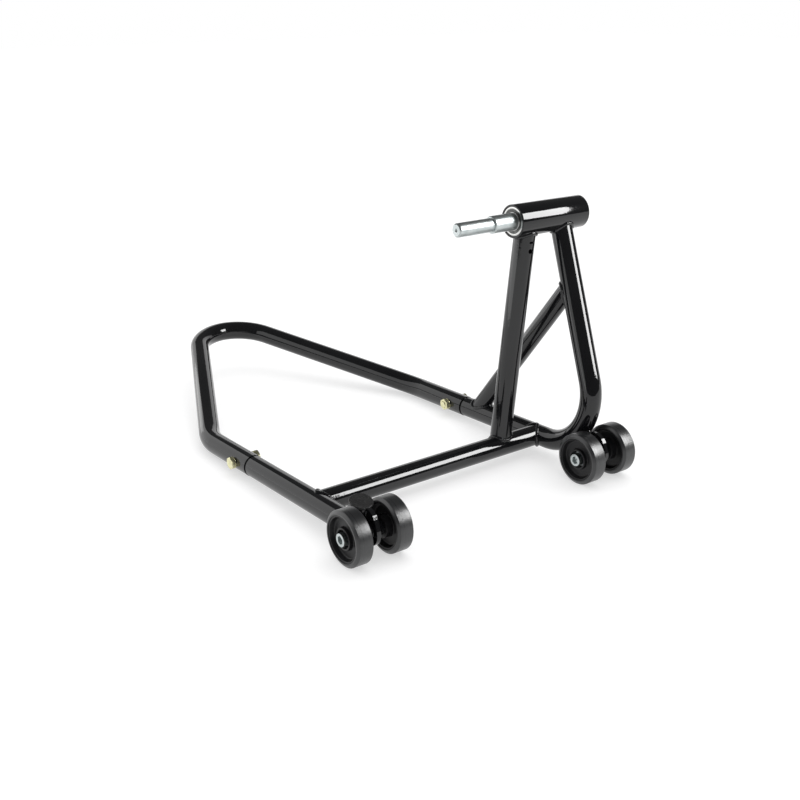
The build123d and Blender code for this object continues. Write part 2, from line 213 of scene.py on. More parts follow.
def ground_steel():
    steel = Material("ground_bearing_steel", (0.72, 0.72, 0.71), 1, 0.16)
    lines = steel.noise(1, 3, steel.turned(4200), 0.6)
    steel.colours(lines, (0.3, (0.46, 0.46, 0.45)), (0.7, (0.62, 0.62, 0.61)))
    steel.rough(steel.spread(lines, 0.1, 0.24))
    steel.bumps((lines, 0.008 * MM))
    return steel.data


def pressed_steel():
    steel = Material("pressed_shield_steel", (0.36, 0.36, 0.36), 1, 0.34)
    steel.colours(steel.noise(160, 4), (0.3, (0.07, 0.07, 0.07)), (0.7, (0.14, 0.14, 0.135)))
    steel.rough(steel.spread(steel.noise(500, 3), 0.28, 0.42))
    steel.bumps((steel.noise(800, 2), 0.012 * MM))
    return steel.data


def bush_steel():
    steel = Material("turned_bush_steel", (0.5, 0.49, 0.46), 1, 0.3)
    lines = steel.noise(1, 3, steel.turned(2600), 0.6)
    steel.colours(lines, (0.3, (0.4, 0.39, 0.36)), (0.7, (0.58, 0.57, 0.54)))
    steel.rough(steel.spread(lines, 0.24, 0.4))
    steel.bumps((lines, 0.015 * MM))
    return steel.data


def tyre_rubber():
    rubber = Material("satin_tyre_rubber", (0.035, 0.036, 0.038), 0, 0.34)
    lines = rubber.noise(1, 5, rubber.turned(1500), 0.72)
    rubber.colours(
        rubber.noise(60, 5),
        (0.3, (0.006, 0.0065, 0.0072)),
        (0.72, (0.013, 0.014, 0.0155)),
    )
    rubber.shader.inputs["Specular IOR Level"].default_value = 0.75
    rubber.rough(rubber.spread(lines, 0.22, 0.44))
    rubber.bumps((lines, 0.05 * MM), (rubber.noise(700, 3), 0.035 * MM))
    return rubber.data


def hub_plastic():
    plastic = Material("moulded_hub_nylon", (0.008, 0.008, 0.009), 0, 0.35)
    plastic.colours(
        plastic.noise(45, 4),
        (0.3, (0.005, 0.005, 0.0055)),
        (0.7, (0.011, 0.011, 0.012)),
    )
    plastic.shader.inputs["Specular IOR Level"].default_value = 0.25
    plastic.rough(plastic.spread(plastic.noise(90, 4), 0.26, 0.44))
    plastic.bumps((plastic.noise(900, 2), 0.02 * MM))
    return plastic.data


def plug_plastic():
    plastic = Material("grained_plug_plastic", (0.007, 0.007, 0.007), 0, 0.5)
    cells = plastic.grains(620)
    plastic.colours(cells, (0.1, (0.012, 0.012, 0.012)), (0.7, (0.005, 0.005, 0.005)))
    plastic.rough(plastic.spread(cells, 0.22, 0.5, 0.1, 0.7))
    plastic.bumps((cells, 0.6 * MM), (plastic.noise(1500, 2), 0.08 * MM))
    return plastic.data


FLOOR_GLOW = 0.54                   # lifts the shadows to those of a lit white sweep


def pale_floor():
    paper = Material("pale_studio_floor", (0.5, 0.5, 0.5), 0, 0.62)
    paper.colours(paper.noise(2.5, 4), (0.3, (0.49, 0.49, 0.492)), (0.7, (0.51, 0.51, 0.512)))
    paper.rough(paper.spread(paper.noise(40, 3), 0.55, 0.7))
    paper.shader.inputs["Specular IOR Level"].default_value = 0.1
    paper.shader.inputs["Emission Color"].default_value = (1, 1, 1, 1)
    paper.shader.inputs["Emission Strength"].default_value = FLOOR_GLOW
    return paper.data


MATERIALS = {
    "black_powder_coat": powder_coat(),
    "zinc_steel": zinc_plate(),
    "yellow_zinc": yellow_zinc(),
    "bearing_steel": ground_steel(),
    "shield_steel": pressed_steel(),
    "bush_steel": bush_steel(),
    "tyre_rubber": tyre_rubber(),
    "hub_plastic": hub_plastic(),
    "plug_plastic": plug_plastic(),
}
SLOT_OF = {row["node"]: row["material_slot"] for row in frame["record"]["subparts"]}
BODY_OF = {
    node: body
    for body, nodes in frame["record"]["behaviour"]["bodies"].items()
    for node in nodes
}

for node, part in frame["nodes"].items():
    part.data.materials.clear()
    part.data.materials.append(MATERIALS[SLOT_OF[node]])


# ---------------------------------------------------------------- mesh helpers
ROUND_STEPS = 5
LATHE_SEGMENTS = 144
LARGE_LATHE_SEGMENTS = 192
SHARP_ANGLE = math.radians(38)
SAME_POINT = 0.002 * MM             # points of a piece closer than this are merged
SAME_CAD_POINT = 0.001 * MM         # and points of a CAD node


def make_piece(name, shapes, node, at=Vector((0, 0, 0)), replaces=True):
    """One object from shapes of (points, faces) about the point at, standing for a CAD node."""
    points, faces = [], []
    for shape_points, shape_faces in shapes:
        faces += [[index + len(points) for index in face] for face in shape_faces]
        points += [Vector(point) for point in shape_points]
    mesh = bpy.data.meshes.new(name)
    mesh.from_pydata(points, [], faces)
    builder = bmesh.new()
    builder.from_mesh(mesh)
    bmesh.ops.remove_doubles(builder, verts=builder.verts, dist=SAME_POINT)
    bmesh.ops.recalc_face_normals(builder, faces=builder.faces)
    for face in builder.faces:
        face.smooth = True
    builder.to_mesh(mesh)
    builder.free()
    mesh.set_sharp_from_angle(angle=SHARP_ANGLE)
    mesh.materials.append(MATERIALS[SLOT_OF[node]])
    piece = bpy.data.objects.new(name, mesh)
    piece.location = at
    bpy.context.scene.collection.objects.link(piece)
    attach(piece, BODY_OF[node])
    if replaces:
        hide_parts(node)
    return piece


def rounded(corners):
    """A closed outline of (x, radius, rounding) corners, with its corners rounded."""
    outline = []
    for index, (x, radius, rounding) in enumerate(corners):
        here = Vector((x, radius))
        if rounding == 0:
            outline.append(here)
            continue
        before = (Vector(corners[index - 1][:2]) - here).normalized()
        after = (Vector(corners[(index + 1) % len(corners)][:2]) - here).normalized()
        half = before.angle(after) / 2
        centre = here + (before + after).normalized() * (rounding / math.sin(half))
        first = here + before * (rounding / math.tan(half)) - centre
        turn = math.pi - 2 * half
        side = 1 if before.cross(after) < 0 else -1
        for step in range(ROUND_STEPS + 1):
            angle = side * turn * step / ROUND_STEPS
            cosine, sine = math.cos(angle), math.sin(angle)
            outline.append(
                centre
                + Vector((first.x * cosine - first.y * sine, first.x * sine + first.y * cosine))
            )
    return outline


def skin(count, segments, closed):
    """Faces that join rows of points, each row going all the way round."""
    faces = []
    for index in range(count if closed else count - 1):
        below, above = index * segments, (index + 1) % count * segments
        for segment in range(segments):
            beyond = (segment + 1) % segments
            faces.append((below + segment, below + beyond, above + beyond, above + segment))
    return faces


def rows_mesh(rows, segments, closed):
    """A shape about X from rows that each give (x, reach) at an angle."""
    points = []
    for row in rows:
        for segment in range(segments):
            angle = 2 * math.pi * segment / segments
            x, reach = row(angle)
            points.append((x, reach * math.cos(angle), reach * math.sin(angle)))
    return points, skin(len(rows), segments, closed)


def flat_row(x, reach):
    return lambda angle: (x, reach)


def lathe(outline, segments=LATHE_SEGMENTS, closed=True):
    """Turns an outline of (x, radius) about X."""
    return rows_mesh([flat_row(x, radius) for x, radius in outline], segments, closed)


def flipped(shape):
    """The shape turned half round Z, so that its +X side looks along -X."""
    points, faces = shape
    return [Vector((-point[0], -point[1], point[2])) for point in points], faces


def ring_outline(start, end, outer, inner, rounding):
    return rounded(
        [
            (start, inner, rounding),
            (start, outer, rounding),
            (end, outer, rounding),
            (end, inner, rounding),
        ]
    )


def hex_reach(flats, angle):
    """The distance from its centre to a hexagon's side at an angle."""
    side = math.pi / 3
    return flats / 2 / math.cos((angle + side / 2) % side - side / 2)


# ---------------------------------------------------------------- fasteners
CHAMFER_SLOPE = math.sqrt(3)        # of a hexagon's 30 degree chamfer
FACE_SHARE = 0.94                   # of the flats, the flat circle on a hexagon's face
HEX_SEGMENTS = 96
THREAD_STEPS = 8                    # points in a thread's pitch
BOLT_THREAD_LENGTH = 20 * MM
BOLT_THREAD_DEPTH = 0.9 * MM
BOLT_END_CHAMFER = 0.8 * MM
HEAD_DISH_DEPTH = 0.35 * MM         # the forged hollow in a hexagon head
HEAD_DISH_SHARES = (0.36, 0.4)      # of the flats, the hollow's radius at its floor and rim
NUT_COUNTERSINK = 0.6 * MM
NUT_THREAD_DEPTH = 0.15 * MM
WASHER_ROUNDING = 0.25 * MM


def hex_sides(start, end, flats, bevel_start, bevel_end):
    """Rows for a hexagon's sides, each a function that gives (x, reach) at an angle."""
    circle = flats / 2 * FACE_SHARE

    def bevelled(face, direction):
        def row(angle):
            reach = hex_reach(flats, angle)
            return face + direction * (reach - circle) / CHAMFER_SLOPE, reach

        return row

    rows = []
    if bevel_start:
        rows += [lambda angle: (start, circle), bevelled(start, 1)]
    else:
        rows += [lambda angle: (start, hex_reach(flats, angle))]
    if bevel_end:
        rows += [bevelled(end, -1), lambda angle: (end, circle)]
    else:
        rows += [lambda angle: (end, hex_reach(flats, angle))]
    return rows


def thread_rows(start, end, radius, pitch, depth):
    """Rows of a helical thread from start to end, faded out at both ends."""
    steps = max(2, round((end - start) / pitch * THREAD_STEPS))

    def thread_row(x):
        def row(angle):
            phase = (x / pitch - angle / (2 * math.pi)) % 1
            fade = min(1, (x - start) / pitch, (end - x) / pitch)
            return x, radius - depth * max(0, fade) * abs(2 * phase - 1)

        return row

    return [thread_row(start + (end - start) * step / steps) for step in range(steps + 1)]


def hex_bolt(head_start, head_end, flats, tip, radius, pitch):
    """A hex bolt whose head looks along -X, with a threaded end towards +X."""
    dish = head_start + HEAD_DISH_DEPTH
    floor_share, rim_share = HEAD_DISH_SHARES
    thread_start = tip - BOLT_THREAD_LENGTH
    thread_end = tip - BOLT_END_CHAMFER
    rows = [flat_row(dish, 0), flat_row(dish, flats * floor_share)]
    rows += [flat_row(head_start, flats * rim_share)]
    rows += hex_sides(head_start, head_end, flats, True, False)
    rows += [flat_row(head_end, radius), flat_row(thread_start, radius)]
    rows += thread_rows(thread_start, thread_end, radius, pitch, BOLT_THREAD_DEPTH)
    rows += [flat_row(tip, radius - BOLT_END_CHAMFER), flat_row(tip, 0)]
    return rows_mesh(rows, HEX_SEGMENTS, closed=False)


def hex_nut(start, end, flats, radius, pitch):
    bore_start = start + NUT_COUNTERSINK
    bore_end = end - NUT_COUNTERSINK
    mouth = radius + NUT_COUNTERSINK
    rows = hex_sides(start, end, flats, True, True)
    rows += [flat_row(end, mouth)]
    rows += reversed(thread_rows(bore_start, bore_end, radius, pitch, -NUT_THREAD_DEPTH))
    rows += [flat_row(start, mouth)]
    return rows_mesh(rows, HEX_SEGMENTS, closed=True)


def washer(start, end, outer, inner):
    return lathe(ring_outline(start, end, outer, inner, WASHER_ROUNDING))


KNURL_TEETH = 44
KNURL_TOOTH_SEGMENTS = 6
KNURL_DEPTH = 0.28 * MM
KNURL_STOP = 1.2 * MM               # from the knurl's end to the head's underside
KNURL_RUNOUT = 0.5 * MM
HEAD_EDGE = 0.7 * MM                # rounding of the head's top edge
EDGE_SHARES = (0.3, 1.3, 1.9)       # of that edge: its inner step, its full radius, the knurl
SOCKET_CHAMFER = 0.4 * MM
SOCKET_FLARE = 0.35 * MM
DRILL_SHARE = 0.25                  # of the flats, the depth of the socket's conical floor
SCREW_THREAD_LENGTH = 16 * MM
SCREW_THREAD_DEPTH = 1.0 * MM
SCREW_END_CHAMFER = 1.0 * MM


def socket_screw(head_start, head_end, head_radius, flats, socket_depth, tip, radius, pitch):
    """A knurled socket-head screw whose head looks along -X."""
    segments = KNURL_TEETH * KNURL_TOOTH_SEGMENTS
    inner_step, full_radius, knurl_start = (HEAD_EDGE * share for share in EDGE_SHARES)
    knurl_end = head_end - KNURL_STOP
    socket_end = head_start + socket_depth
    thread_start = tip - SCREW_THREAD_LENGTH
    thread_end = tip - SCREW_END_CHAMFER

    def knurled(x):
        def row(angle):
            wave = abs(math.sin(angle * KNURL_TEETH / 2))
            return x, head_radius - KNURL_DEPTH * (1 - wave)

        return row

    def hexagon_row(x, flare=0.0):
        return lambda angle: (x, hex_reach(flats, angle) + flare)

    rows = [flat_row(socket_end + flats * DRILL_SHARE, 0), hexagon_row(socket_end)]
    rows += [hexagon_row(head_start + SOCKET_CHAMFER), hexagon_row(head_start, SOCKET_FLARE)]
    rows += [flat_row(head_start, head_radius - HEAD_EDGE)]
    rows += [flat_row(head_start + inner_step, head_radius - inner_step)]
    rows += [flat_row(head_start + full_radius, head_radius)]
    rows += [knurled(head_start + knurl_start), knurled(knurl_end)]
    rows += [flat_row(knurl_end + KNURL_RUNOUT, head_radius), flat_row(head_end, head_radius)]
    rows += [flat_row(head_end, radius), flat_row(thread_start, radius)]
    rows += thread_rows(thread_start, thread_end, radius, pitch, SCREW_THREAD_DEPTH)
    rows += [flat_row(tip, radius - SCREW_END_CHAMFER), flat_row(tip, 0)]
    return rows_mesh(rows, segments, closed=False)


def solid_boxes(node):
    """The (low, high) corners of each separate solid of a node, ordered along X."""
    builder = bmesh.new()
    builder.from_mesh(frame["nodes"][node].data)
    bmesh.ops.remove_doubles(builder, verts=builder.verts, dist=SAME_CAD_POINT)
    left = set(builder.verts)
    boxes = []
    while left:
        stack = [left.pop()]
        island = []
        while stack:
            vertex = stack.pop()
            island.append(vertex.co.copy())
            for edge in vertex.link_edges:
                other = edge.other_vert(vertex)
                if other in left:
                    left.remove(other)
                    stack.append(other)
        low = Vector([min(point[axis] for point in island) for axis in range(3)])
        high = Vector([max(point[axis] for point in island) for axis in range(3)])
        boxes.append((low, high))
    builder.free()
    return sorted(boxes, key=lambda corners: corners[0].x + corners[1].x)


def box_middle(corners):
    return (corners[0] + corners[1]) / 2


THREAD_PLAY = 0.2 * MM              # from a screw's radius to its nut's and washers'
AXLE_THREAD = 12 * MM
AXLE_PITCH = 1.75 * MM
AXLE_HEX = 10 * MM
AXLE_HEX_DEPTH = 6 * MM
AXLE_HEAD = 18 * MM
AXLE_HEAD_HEIGHT = 12 * MM
AXLE_NUT_FLATS = 19 * MM


def make_axle_fasteners():
    screws = solid_boxes("axle_screws")
    nuts = solid_boxes("axle_nuts")
    for side_name, screw, nut in zip(("left", "right"), screws, nuts):
        centre = box_middle(screw)
        start, end = screw[0].x - centre.x, screw[1].x - centre.x
        shape = socket_screw(
            start,
            start + AXLE_HEAD_HEIGHT,
            AXLE_HEAD / 2,
            AXLE_HEX,
            AXLE_HEX_DEPTH,
            end,
            AXLE_THREAD / 2,
            AXLE_PITCH,
        )
        make_piece(f"{side_name}_axle_screw", [shape], "axle_screws", centre)
        centre = box_middle(nut)
        half = (nut[1].x - nut[0].x) / 2
        shape = hex_nut(-half, half, AXLE_NUT_FLATS, AXLE_THREAD / 2 + THREAD_PLAY, AXLE_PITCH)
        make_piece(f"{side_name}_axle_nut", [shape], "axle_nuts", centre)
    make_washers("axle_washers", AXLE_THREAD / 2 + THREAD_PLAY)


def make_washers(node, bore_radius):
    for number, corners in enumerate(solid_boxes(node), 1):
        half = (corners[1] - corners[0]) / 2
        shape = washer(-half.x, half.x, half.z, bore_radius)
        make_piece(f"{node[:-1]}_{number}", [shape], node, box_middle(corners))


HANDLE_THREAD = 10 * MM
HANDLE_PITCH = 1.5 * MM
HANDLE_HEX = 17 * MM
HANDLE_HEAD_HEIGHT = 6.4 * MM


def make_handle_fasteners():
    bolts = solid_boxes("handle_bolts")
    nuts = solid_boxes("handle_nuts")
    for side_name, side, bolt, nut in zip(("left", "right"), (-1, 1), bolts, nuts):
        centre = box_middle(bolt)
        half = (bolt[1].x - bolt[0].x) / 2
        shape = hex_bolt(
            -half,
            -half + HANDLE_HEAD_HEIGHT,
            HANDLE_HEX,
            half,
            HANDLE_THREAD / 2,
            HANDLE_PITCH,
        )
        shape = shape if side < 0 else flipped(shape)
        make_piece(f"{side_name}_handle_bolt", [shape], "handle_bolts", centre)
        half = (nut[1].x - nut[0].x) / 2
        shape = hex_nut(-half, half, HANDLE_HEX, HANDLE_THREAD / 2 + THREAD_PLAY, HANDLE_PITCH)
        make_piece(f"{side_name}_handle_nut", [shape], "handle_nuts", box_middle(nut))
    make_washers("handle_washers", HANDLE_THREAD / 2 + THREAD_PLAY)


# ---------------------------------------------------------------- wheels
RIM_WALL = 2.6 * MM
RIM_TAPER = 2.0 * MM
RIM_INSET = 1.0 * MM                # of the hub's rim behind the tyre's side
RIM_EDGE = 0.6 * MM
TYRE_SEAT_EDGE = 0.2 * MM
WEB_THICKNESS = 9.0 * MM
WEB_TO_RIM = 2.2 * MM               # fillets
WEB_TO_BOSS = 1.6 * MM
BOSS_RADIUS = 15.0 * MM
BOSS_RECESS = 2.0 * MM
BOSS_EDGE = 0.7 * MM
HEAD_RECESS_RADIUS = 12.5 * MM
HEAD_RECESS_EDGE = 0.6 * MM
HEAD_RECESS_FILLET = 0.3 * MM
INNER_BOSS_EDGE = 0.8 * MM
BUSH_EDGE = 0.3 * MM
BUSH_PLAY = 0.05 * MM
TYRE_SHOULDER_WIDTH = 3.0 * MM
TYRE_SHOULDER_DROP = 4.0 * MM
TYRE_SHOULDER_STEP = 0.6 * MM       # between the tread and the shoulder's bevel
STEP_EDGE = 0.25 * MM
TREAD_EDGE = 0.35 * MM
TYRE_SIDE_EDGE = 0.6 * MM
TYRE_BORE_EDGE = 0.4 * MM


def tyre_shape(half_width, outer, inner):
    """A flat tread between two bevelled shoulders, each set off by a fine step."""
    tread_x = half_width - TYRE_SHOULDER_WIDTH
    bevel_x = tread_x + TYRE_SHOULDER_STEP
    bevel_radius = outer - TYRE_SHOULDER_STEP
    side_radius = outer - TYRE_SHOULDER_DROP
    corners = [
        (-half_width, inner, TYRE_BORE_EDGE),
        (-half_width, side_radius, TYRE_SIDE_EDGE),
        (-bevel_x, bevel_radius, STEP_EDGE),
        (-tread_x, outer, TREAD_EDGE),
        (tread_x, outer, TREAD_EDGE),
        (bevel_x, bevel_radius, STEP_EDGE),
        (half_width, side_radius, TYRE_SIDE_EDGE),
        (half_width, inner, TYRE_BORE_EDGE),
    ]
    return lathe(rounded(corners), LARGE_LATHE_SEGMENTS)


def hub_shape(half_width, hub_radius, bush_radius, inner_end, outer_seat):
    """A hub about its wheel's middle, with its outer face towards +X."""
    rim = hub_radius - RIM_WALL
    rim_x = half_width - RIM_INSET
    web_x = WEB_THICKNESS / 2
    boss_x = half_width - BOSS_RECESS
    corners = [
        (-rim_x, hub_radius, TYRE_SEAT_EDGE),
        (rim_x, hub_radius, TYRE_SEAT_EDGE),
        (rim_x, rim, RIM_EDGE),
        (web_x, rim - RIM_TAPER, WEB_TO_RIM),
        (web_x, BOSS_RADIUS, WEB_TO_BOSS),
        (boss_x, BOSS_RADIUS, BOSS_EDGE),
        (boss_x, HEAD_RECESS_RADIUS, HEAD_RECESS_EDGE),
        (outer_seat, HEAD_RECESS_RADIUS, HEAD_RECESS_FILLET),
        (outer_seat, bush_radius, 0),
        (inner_end, bush_radius, 0),
        (inner_end, BOSS_RADIUS, INNER_BOSS_EDGE),
        (-web_x, BOSS_RADIUS, WEB_TO_BOSS),
        (-web_x, rim - RIM_TAPER, WEB_TO_RIM),
        (-rim_x, rim, RIM_EDGE),
    ]
    return lathe(rounded(corners))


def make_wheels():
    for side_name, side in (("left", -1), ("right", 1)):
        for place, outward in (("outer", side), ("inner", -side)):
            wheel = f"{side_name}_{place}"
            centre = middle(f"{wheel}_tyre")
            size = extent(f"{wheel}_tyre")
            hub_radius = extent(f"{wheel}_hub").z / 2
            bush_size = extent(f"{wheel}_bush")
            bush_x = outward * (middle(f"{wheel}_bush").x - centre.x)
            bush_bore = AXLE_THREAD / 2 + BUSH_PLAY
            seat, inner_end = bush_x + bush_size.x / 2, bush_x - bush_size.x / 2
            turn = (lambda shape: shape) if outward > 0 else flipped
            tyre = tyre_shape(size.x / 2, size.z / 2, hub_radius)
            hub = hub_shape(size.x / 2, hub_radius, bush_size.z / 2, inner_end, seat)
            bush = lathe(
                ring_outline(inner_end, seat, bush_size.z / 2, bush_bore, BUSH_EDGE)
            )
            for kind, shape in (("tyre", tyre), ("hub", hub), ("bush", bush)):
                node = f"{wheel}_{kind}"
                make_piece(f"{node}_finished", [turn(shape)], node, centre)


# ---------------------------------------------------------------- barrel, bearings, spindle
BEARING_WIDTH = 12.0 * MM
BEARING_RECESS = 1.0 * MM
BORE_SHOULDER = 2.0 * MM
BORE_SHOULDER_EDGE = 0.3 * MM
BARREL_BORE_EDGE = 0.5 * MM
BARREL_EDGE = 1.1 * MM
BALL_GROOVE_WIDTH = 6.0 * MM
BALL_GROOVE_DEPTH = 0.95 * MM
GROOVE_STEPS = 10
OUTER_RACE_EDGES = (0.3 * MM, 0.7 * MM)     # on the shields' side and in the barrel
INNER_RACE_EDGES = (0.6 * MM, 0.5 * MM)     # on the shields' side and on the spindle
SHIELD_GAP = 0.25 * MM
SHIELD_DIP = 0.22 * MM
SHIELD_RIM_SHARE = 0.62             # of a shield's width, the dished part
SHIELD_EDGE = 0.1 * MM
SHIELD_SLOPE = (0.2 * MM, 0.4 * MM)         # from the dish's edge, out and in


def make_barrel():
    centre = middle("hub_barrel")
    size = extent("hub_barrel")
    seat = solid_boxes("bearing_outer_races")[0]
    seat_radius = (seat[1].z - seat[0].z) / 2
    bore = seat_radius - BORE_SHOULDER
    half = size.x / 2
    depth = BEARING_RECESS + BEARING_WIDTH
    corners = [
        (-half, seat_radius, BARREL_BORE_EDGE),
        (-half, size.z / 2, BARREL_EDGE),
        (half, size.z / 2, BARREL_EDGE),
        (half, seat_radius, BARREL_BORE_EDGE),
        (half - depth, seat_radius, 0),
        (half - depth, bore, BORE_SHOULDER_EDGE),
        (-half + depth, bore, BORE_SHOULDER_EDGE),
        (-half + depth, seat_radius, 0),
    ]
    shape = lathe(rounded(corners), LARGE_LATHE_SEGMENTS)
    make_piece("hub_barrel_finished", [shape], "hub_barrel", centre)


def race_shape(half, outer, inner, grooved_outside):
    """A race with rounded edges and a ball groove in its outer or inner side."""
    groove = []
    for step in range(GROOVE_STEPS + 1):
        angle = math.pi * step / GROOVE_STEPS
        x = -BALL_GROOVE_WIDTH / 2 * math.cos(angle)
        groove.append((x, BALL_GROOVE_DEPTH * math.sin(angle)))
    if grooved_outside:
        outer_edge, inner_edge = INNER_RACE_EDGES
        arc = [(x, outer - depth) for x, depth in groove]
        corners = [(half, outer, outer_edge), (half, inner, inner_edge)]
        corners += [(-half, inner, inner_edge), (-half, outer, outer_edge)]
    else:
        inner_edge, outer_edge = OUTER_RACE_EDGES
        arc = [(x, inner + depth) for x, depth in reversed(groove)]
        corners = [(-half, inner, inner_edge), (-half, outer, outer_edge)]
        corners += [(half, outer, outer_edge), (half, inner, inner_edge)]
    return lathe(rounded(corners) + arc)


def shield_shape(front, outer, inner):
    """A pressed shield whose dished inner part lies a little behind its front face."""
    back = -front
    dished = front - math.copysign(SHIELD_DIP, front)
    step = inner + (outer - inner) * SHIELD_RIM_SHARE
    slope_out, slope_in = SHIELD_SLOPE
    corners = [
        (front, outer, 0),
        (back, outer, 0),
        (back, step, 0),
        (back, inner, 0),
        (dished, inner, SHIELD_EDGE),
        (dished, step - slope_in, SHIELD_EDGE),
        (front, step + slope_out, SHIELD_EDGE),
    ]
    return lathe(rounded(corners))


def make_bearings():
    outer_boxes = solid_boxes("bearing_outer_races")
    inner_boxes = solid_boxes("bearing_inner_races")
    shield_boxes = solid_boxes("bearing_shields")
    outer_half = (outer_boxes[0][1] - outer_boxes[0][0]) / 2
    inner_radius = (inner_boxes[0][1].z - inner_boxes[0][0].z) / 2
    shield_half = (shield_boxes[0][1] - shield_boxes[0][0]) / 2
    for name, box in zip(("near", "far"), outer_boxes):
        centre = box_middle(box)
        race = race_shape(outer_half.x, outer_half.z, shield_half.z, False)
        make_piece(f"{name}_outer_race", [race], "bearing_outer_races", centre)
        race = race_shape(outer_half.x, inner_radius, SPINDLE_BORE_RADIUS, True)
        make_piece(f"{name}_inner_race", [race], "bearing_inner_races", centre)
    for number, box in enumerate(shield_boxes, 1):
        front = -shield_half.x if number % 2 else shield_half.x
        shape = shield_shape(front, shield_half.z, inner_radius + SHIELD_GAP)
        make_piece(f"bearing_shield_{number}", [shape], "bearing_shields", box_middle(box))


SPINDLE_BORE_RADIUS = 10.0 * MM     # of the bearings' bores, and of the spindle's thin part
SHOULDER_RADIUS = 12.5 * MM
SHOULDER_CHAMFER = 1.2 * MM
SHOULDER_CHAMFER_EDGE = 0.4 * MM
SHOULDER_FACE_EDGE = 0.25 * MM
RACE_STOP_EDGE = 0.3 * MM           # where the near inner race stops
TIP_LENGTH = 62.5 * MM
TIP_CHAMFER = 2.0 * MM
TIP_CHAMFER_EDGE = 0.6 * MM
TIP_FACE_EDGE = 0.35 * MM
RELIEF_DEPTH = 0.6 * MM             # of the groove where the tip meets the shoulder
RELIEF_WIDTH = 2.0 * MM
RELIEF_SLOPE = 0.1 * MM
RELIEF_EDGE = 0.1 * MM
RELIEF_FILLET = 0.2 * MM
CENTRE_HOLE_RADIUS = 2.6 * MM
CENTRE_DRILL_RADIUS = 1.1 * MM
CENTRE_CONE_DEPTH = 1.9 * MM
CENTRE_HOLE_DEPTH = 4.6 * MM
CENTRE_HOLE_EDGE = 0.12 * MM
FAR_CHAMFER = 1.2 * MM
FAR_CHAMFER_EDGE = 0.3 * MM
FAR_FACE_EDGE = 0.2 * MM
CIRCLIP_SEAT_RADIUS = 9.4 * MM
SPINDLE_SEGMENTS = 160
SPACER_BORE_RADIUS = 10.1 * MM
SPACER_EDGE = 0.4 * MM


def make_spindle():
    low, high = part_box("spindle_pin")
    races = solid_boxes("bearing_inner_races")
    clip_low, clip_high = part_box("spindle_circlip")
    centre = middle("spindle_pin")
    start, end = low.x - centre.x, high.x - centre.x
    step = start + TIP_LENGTH
    relief = step - RELIEF_WIDTH
    relief_radius = SPINDLE_BORE_RADIUS - RELIEF_DEPTH
    race = races[0][0].x - centre.x
    clip_start, clip_end = clip_low.x - centre.x, clip_high.x - centre.x
    corners = [
        (start + CENTRE_HOLE_DEPTH, 0, 0),
        (start + CENTRE_CONE_DEPTH, CENTRE_DRILL_RADIUS, 0),
        (start, CENTRE_HOLE_RADIUS, CENTRE_HOLE_EDGE),
        (start, SPINDLE_BORE_RADIUS - TIP_CHAMFER, TIP_FACE_EDGE),
        (start + TIP_CHAMFER, SPINDLE_BORE_RADIUS, TIP_CHAMFER_EDGE),
        (relief, SPINDLE_BORE_RADIUS, RELIEF_EDGE),
        (relief + RELIEF_SLOPE, relief_radius, 0),
        (step, relief_radius, RELIEF_FILLET),
        (step, SHOULDER_RADIUS - SHOULDER_CHAMFER, SHOULDER_FACE_EDGE),
        (step + SHOULDER_CHAMFER, SHOULDER_RADIUS, SHOULDER_CHAMFER_EDGE),
        (race, SHOULDER_RADIUS, RACE_STOP_EDGE),
        (race, SPINDLE_BORE_RADIUS, 0),
        (clip_start, SPINDLE_BORE_RADIUS, 0),
        (clip_start, CIRCLIP_SEAT_RADIUS, 0),
        (clip_end, CIRCLIP_SEAT_RADIUS, 0),
        (clip_end, SPINDLE_BORE_RADIUS, 0),
        (end - FAR_CHAMFER, SPINDLE_BORE_RADIUS, FAR_CHAMFER_EDGE),
        (end, SPINDLE_BORE_RADIUS - FAR_CHAMFER, FAR_FACE_EDGE),
        (end, CENTRE_HOLE_RADIUS, CENTRE_HOLE_EDGE),
        (end - CENTRE_CONE_DEPTH, CENTRE_DRILL_RADIUS, 0),
        (end - CENTRE_HOLE_DEPTH, 0, 0),
    ]
    shape = lathe(rounded(corners), SPINDLE_SEGMENTS, closed=False)
    make_piece("spindle_finished", [shape], "spindle_pin", centre)


def make_spacer():
    half = extent("race_spacer") / 2
    outline = ring_outline(-half.x, half.x, half.z, SPACER_BORE_RADIUS, SPACER_EDGE)
    make_piece("race_spacer_finished", [lathe(outline)], "race_spacer", middle("race_spacer"))


CIRCLIP_HALF_GAP = math.radians(20)
CIRCLIP_STEPS = 90
CIRCLIP_LEAST = 0.55                # of the ring's full width
CIRCLIP_SWELL = 0.42                # added opposite the gap
CIRCLIP_EYE_SHARE = 0.05            # of the ring's length, at full width by each end


